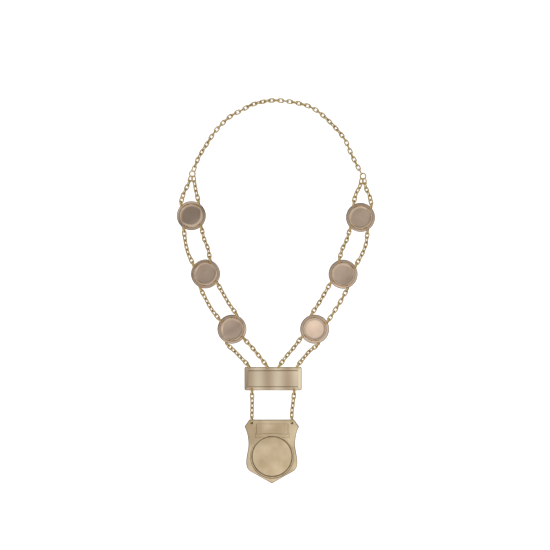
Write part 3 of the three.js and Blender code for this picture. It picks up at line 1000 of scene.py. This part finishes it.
def shield():
    """The shield: pierced plate, ribbon with folded tails, a rim round a swelling field, and a dark ring of
    painted shadow below that rim.
    """
    sizes = bpy.context.scene.chain_shield
    bm = shield_plate()
    half = sizes.ribbon_half
    middle = sizes.ribbon_side
    left = Vector((middle - half, -sizes.ribbon_bottom))
    right = Vector((middle + half, -sizes.ribbon_bottom))
    crown = Vector((middle, -sizes.ribbon_bottom + 2 * sizes.ribbon_arch))
    band = [left, *quarter_curve(left, crown, right)]
    band += [Vector((middle + half, -sizes.ribbon_top)), Vector((middle - half, -sizes.ribbon_top))]
    raised_work(bm, [point.to_2d() for point in band], sizes.ribbon_rise)
    for side in (-1, 1):
        tail = [
            (middle + side * sizes.tail_inner, -sizes.tail_top),
            (middle + side * sizes.tail_outer, -sizes.tail_top),
            (middle + side * sizes.tail_outer, -sizes.tail_bottom),
            (middle + side * (sizes.tail_inner + sizes.tail_slant), -sizes.tail_bottom),
        ]
        raised_work(bm, tail, sizes.tail_rise)
    sides = bpy.context.scene.chain_discs.sides
    foot = sizes.thickness - sizes.root
    inner = sizes.rim - sizes.rim_width / 2
    swell = [
        (inner * math.cos(turn), sizes.thickness + sizes.field_rise * math.sin(turn))
        for turn in [i * QUARTER_TURN / SWELL_STEPS for i in range(SWELL_STEPS + 1)]
    ]
    field = turned_shape([
        (0, foot),
        (sizes.rim + sizes.rim_width / 2, foot),
        *rounded(sizes.rim, sizes.thickness, sizes.rim_width, sizes.rim_rise),
        *swell[1:],
    ], sides)
    # Painted highlight: the rim round the field gets the pale gilt
    finish_ring(field, inner, inner + sizes.rim_width, ROUGH_AND_HIGHLIT)
    lay_once(bm, field, Matrix.Translation((sizes.field_side, -sizes.middle, 0)))
    # Painted shadow: a thin dark disc under the field, wider than the rim and set lower than its middle,
    # shows as a dark crescent round the lower part of the rim
    reach = sizes.rim + sizes.rim_width / 2 + sizes.shade_out
    crest = sizes.thickness + sizes.shade_rise
    shade = turned_shape([(0, foot), (reach, foot), (reach, crest), (0, crest)], sides)
    shade_middle = (sizes.field_side, -sizes.middle - sizes.shade_down, 0)
    lay_once(bm, shade, Matrix.Translation(shade_middle), DULL_AND_SHADED)
    bmesh.ops.transform(bm, matrix=shield_place(), verts=bm.verts)
    finished_piece("shield_plate", bm, PLATE_SLOT, ["shield"], "shield", "wire", "edge", "bead")


# Operators

# How often the lean of the neck chain's links wanders to and fro
NECK_WANDERS = 3


class MakeNeckChain(bpy.types.Operator):
    """Links of the neck chain, laid along its way from ring to ring"""

    bl_idname = "prince_chain.make_neck_chain"
    bl_label = "Make Neck Chain"

    def execute(self, context):
        sizes = context.scene.chain_links
        leans = []
        for i in range(sizes.neck_links):
            wander = math.sin(NECK_WANDERS * FULL_TURN * i / sizes.neck_links)
            leans.append(sizes.neck_roll + sizes.neck_twist * wander - QUARTER_TURN * (i % 2))
        bm = link_chain(neck_way(), leans)
        finished_piece("neck_links", bm, WIRE_SLOT, ["neck_chain"], "wire")
        return {"FINISHED"}


class MakeRings(bpy.types.Operator):
    """The two jump rings between the neck chain and the straps"""

    bl_idname = "prince_chain.make_rings"
    bl_label = "Make Rings"

    def execute(self, context):
        sizes = context.scene.chain_links
        shape = wire_ring(sizes.ring_radius, sizes.ring_wire, 0)
        for hand, side in HAND_SIDE.items():
            bm = bmesh.new()
            leaning = Matrix.Rotation(-side * sizes.ring_lean, 4, "Y")
            lay(bm, shape, Matrix.Translation(ring_middle(hand)) @ leaning)
            finished_piece(f"{hand}_jump_ring", bm, WIRE_SLOT, [f"{hand}_ring"], "wire")
        bpy.data.meshes.remove(shape)
        return {"FINISHED"}


class MakeStrapChains(bpy.types.Operator):
    """The paired short chains from the rings over the discs to the bar"""

    bl_idname = "prince_chain.make_strap_chains"
    bl_label = "Make Strap Chains"

    def execute(self, context):
        lean = context.scene.chain_links.eye_lean
        for hand, spans in STRAPS.items():
            for span, lanes in enumerate(spans, 1):
                for lane, strap in lanes.items():
                    bm = link_chain(strap_way(hand, lane, span, strap["bows"]), rolled(strap, lean, lean))
                    node = f"{hand}_{lane}_chain_{span}"
                    finished_piece(f"{hand}_{lane}_links_{span}", bm, WIRE_SLOT, [node], "wire")
        return {"FINISHED"}


class MakePendantChains(bpy.types.Operator):
    """The two short chains from the bar to the shield"""

    bl_idname = "prince_chain.make_pendant_chains"
    bl_label = "Make Pendant Chains"

    def execute(self, context):
        sizes = context.scene.chain_links
        for hand, pendant in PENDANTS.items():
            leans = rolled(pendant, sizes.eye_lean, sizes.hole_lean)
            bm = link_chain(pendant_way(hand, pendant["bows"]), leans)
            finished_piece(f"{hand}_pendant_links", bm, WIRE_SLOT, [f"{hand}_pendant_chain"], "wire")
        return {"FINISHED"}


class MakeDiscs(bpy.types.Operator):
    """The six round plates"""

    bl_idname = "prince_chain.make_discs"
    bl_label = "Make Discs"

    def execute(self, context):
        for hand, turns in DISC_TURNS.items():
            for number in range(1, len(turns) + 1):
                disc(hand, number)
        return {"FINISHED"}


class MakeNameBar(bpy.types.Operator):
    """The bar with its blank panel"""

    bl_idname = "prince_chain.make_name_bar"
    bl_label = "Make Name Bar"

    def execute(self, context):
        name_bar()
        return {"FINISHED"}


class MakeShield(bpy.types.Operator):
    """The shield with its ribbon and blank field"""

    bl_idname = "prince_chain.make_shield"
    bl_label = "Make Shield"

    def execute(self, context):
        shield()
        return {"FINISHED"}


# Stage

WALL_SIDES = 64
FLOOR_ROUGHNESS = 0.9
WHITE = (1, 1, 1, 1)
BLACK = (0, 0, 0, 1)

# Sensor of the camera in millimetres, and how far it sees in metres
SENSOR_WIDTH = 36
CAMERA_REACH = 10

# Where the middle of the soft box lies on its ramp of light
RAMP_MIDDLE = 0.5

# Light of the soft box at distances from its middle, in metres along the way it grows brighter
SOFT_BOX_BANDS = [
    (-5, 0.3), (-2.2, 0.5), (-0.7, 0.64), (-0.5, 0.62), (-0.40, 0.56), (-0.355, 0.42), (-0.32, 0.26),
    (-0.24, 0.28), (-0.13, 0.41), (0.0, 0.49), (0.033, 0.41), (0.038, 0.34), (0.043, 0.51), (0.10, 0.49),
    (0.19, 0.60), (0.24, 0.64), (0.40, 0.60), (0.7, 0.86), (0.95, 0.82), (1.1, 0.64), (2.2, 0.8), (5, 0.6),
]


def stage_object(name, bm):
    """Object of the stage, which is not part of the chain."""
    thing = new_object(name, bm)
    return thing


def flat_sheet(name, size, height):
    """Square sheet of the stage."""
    bm = bmesh.new()
    bmesh.ops.create_grid(bm, x_segments=1, y_segments=1, size=size / 2)
    sheet = stage_object(name, bm)
    sheet.location.z = height
    return sheet


def paint(thing, name, sockets):
    """Give a thing of the stage a paint that is the same all over."""
    material = bpy.data.materials.new(name)
    material.use_nodes = True
    shader = material.node_tree.nodes["Principled BSDF"]
    for socket, value in sockets.items():
        shader.inputs[socket].default_value = value
    thing.data.materials.append(material)


class SetStage(bpy.types.Operator):
    """Camera straight above, pale floor and walls, and a banded soft box, brightest to the lower right"""

    bl_idname = "prince_chain.set_stage"
    bl_label = "Set Stage"

    def execute(self, context):
        settings = context.scene.chain_stage
        self.set_camera(context, settings)
        self.set_floor(settings)
        self.set_walls(settings)
        self.set_soft_box(settings)
        world = bpy.data.worlds.new("room")
        world.use_nodes = True
        world.node_tree.nodes["Background"].inputs["Color"].default_value = opaque(settings.room)
        context.scene.world = world
        context.scene.view_settings.view_transform = "Standard"
        return {"FINISHED"}

    def set_camera(self, context, settings):
        """Camera that looks straight down on the laid-out chain."""
        lens = bpy.data.cameras.new("camera")
        lens.sensor_width = SENSOR_WIDTH
        lens.lens = SENSOR_WIDTH * settings.camera_height / settings.view_width
        lens.clip_end = CAMERA_REACH
        camera = bpy.data.objects.new("camera", lens)
        camera.location = (settings.view_x, settings.view_y, settings.camera_height)
        context.collection.objects.link(camera)
        context.scene.camera = camera

    def set_floor(self, settings):
        """Pale floor with a little light of its own."""
        floor = flat_sheet("floor", settings.floor_size, 0)
        floor.visible_glossy = False
        paint(floor, "floor_paper", {
            "Base Color": opaque(settings.floor_colour),
            "Roughness": FLOOR_ROUGHNESS,
            "Emission Color": WHITE,
            "Emission Strength": settings.floor_glow,
        })

    def set_walls(self, settings):
        """Pale round wall between the floor and the soft box."""
        bm = bmesh.new()
        bmesh.ops.create_circle(bm, segments=WALL_SIDES, radius=settings.sky_size / 2)
        grown = bmesh.ops.extrude_edge_only(bm, edges=bm.edges)
        upper = of_type(grown, bmesh.types.BMVert)
        bmesh.ops.translate(bm, verts=upper, vec=(0, 0, settings.sky_height))
        paint(stage_object("walls", bm), "wall_paint", {
            "Base Color": BLACK,
            "Specular IOR Level": 0,
            "Emission Color": WHITE,
            "Emission Strength": settings.wall_glow,
        })

    def set_soft_box(self, settings):
        """Soft box overhead in bands of light, with one bright spot."""
        box = flat_sheet("soft_box", settings.sky_size, settings.sky_height)
        box.visible_camera = False
        silk = bpy.data.materials.new("soft_box_silk")
        silk.use_nodes = True
        tree = silk.node_tree
        tree.nodes.remove(tree.nodes["Principled BSDF"])
        place = add_node(tree, "ShaderNodeTexCoord").outputs["Object"]
        turned = add_node(
            tree, "ShaderNodeMapping", vector=place, rotation=(0, 0, -settings.sky_turn),
            scale=(1 / settings.sky_size,) * 3)
        turned.inputs["Location"].default_value = (RAMP_MIDDLE, 0, 0)
        grade = add_node(tree, "ShaderNodeTexGradient", vector=turned.outputs["Vector"])
        ramp = add_node(tree, "ShaderNodeValToRGB", fac=grade.outputs["Color"])
        stops = ramp.color_ramp.elements
        while len(stops) < len(SOFT_BOX_BANDS):
            stops.new(1)
        for stop, (distance, light) in zip(stops, SOFT_BOX_BANDS):
            stop.position = distance / settings.sky_size + RAMP_MIDDLE
            stop.color = opaque([light * part for part in settings.sky_tint])

        around = add_node(tree, "ShaderNodeMapping", vector=place, scale=(1 / settings.spot_size,) * 3)
        spot_middle = (-settings.spot_x / settings.spot_size, -settings.spot_y / settings.spot_size, 0)
        around.inputs["Location"].default_value = spot_middle
        bright = add_node(
            tree, "ShaderNodeTexGradient", gradient_type="SPHERICAL", vector=around.outputs["Vector"])
        strength = add_node(
            tree, "ShaderNodeMapRange", value=bright.outputs["Fac"], to_min=1,
            to_max=1 + settings.spot_light)
        glow = add_node(tree, "ShaderNodeEmission", strength=strength.outputs["Result"])
        tree.links.new(ramp.outputs["Color"], glow.inputs["Color"])
        tree.links.new(glow.outputs["Emission"], tree.nodes["Material Output"].inputs["Surface"])
        box.data.materials.append(silk)


class PrinceChainPanel(bpy.types.Panel):
    """Lists the pieces of the chain in the sidebar"""

    bl_idname = "VIEW3D_PT_prince_chain"
    bl_label = "Prince Chain"
    bl_space_type = "VIEW_3D"
    bl_region_type = "UI"
    bl_category = "Prince Chain"

    def draw(self, context):
        for operator in OPERATORS:
            self.layout.operator(operator.bl_idname)


SETTINGS = {
    "chain_links": LinkSizes,
    "chain_discs": DiscSizes,
    "chain_bar": BarSizes,
    "chain_shield": ShieldSizes,
    "chain_finish": GiltFinish,
    "chain_stage": StageSettings,
}
OPERATORS = [
    SetStage,
    MakeNeckChain,
    MakeRings,
    MakeStrapChains,
    MakeDiscs,
    MakeNameBar,
    MakePendantChains,
    MakeShield,
]


def register():
    """Register the classes and hang the settings on the scene."""
    for name, group in SETTINGS.items():
        bpy.utils.register_class(group)
        setattr(bpy.types.Scene, name, PointerProperty(type=group))
    for operator in OPERATORS:
        bpy.utils.register_class(operator)
    bpy.utils.register_class(PrinceChainPanel)


def unregister():
    """Take everything off again."""
    bpy.utils.unregister_class(PrinceChainPanel)
    for operator in reversed(OPERATORS):
        bpy.utils.unregister_class(operator)
    for name, group in SETTINGS.items():
        delattr(bpy.types.Scene, name)
        bpy.utils.unregister_class(group)


def corners(box):
    """Lowest and highest corner as plain lists."""
    return [list(corner) for corner in box]


def main():
    """Make the chain piece by piece."""
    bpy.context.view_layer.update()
    register()
    bpy.ops.prince_chain.set_stage()
    bpy.ops.prince_chain.make_neck_chain()
    bpy.ops.prince_chain.make_rings()
    bpy.ops.prince_chain.make_strap_chains()
    bpy.ops.prince_chain.make_discs()
    bpy.ops.prince_chain.make_name_bar()
    bpy.ops.prince_chain.make_pendant_chains()
    bpy.ops.prince_chain.make_shield()


if __name__ == "__main__":
    main()
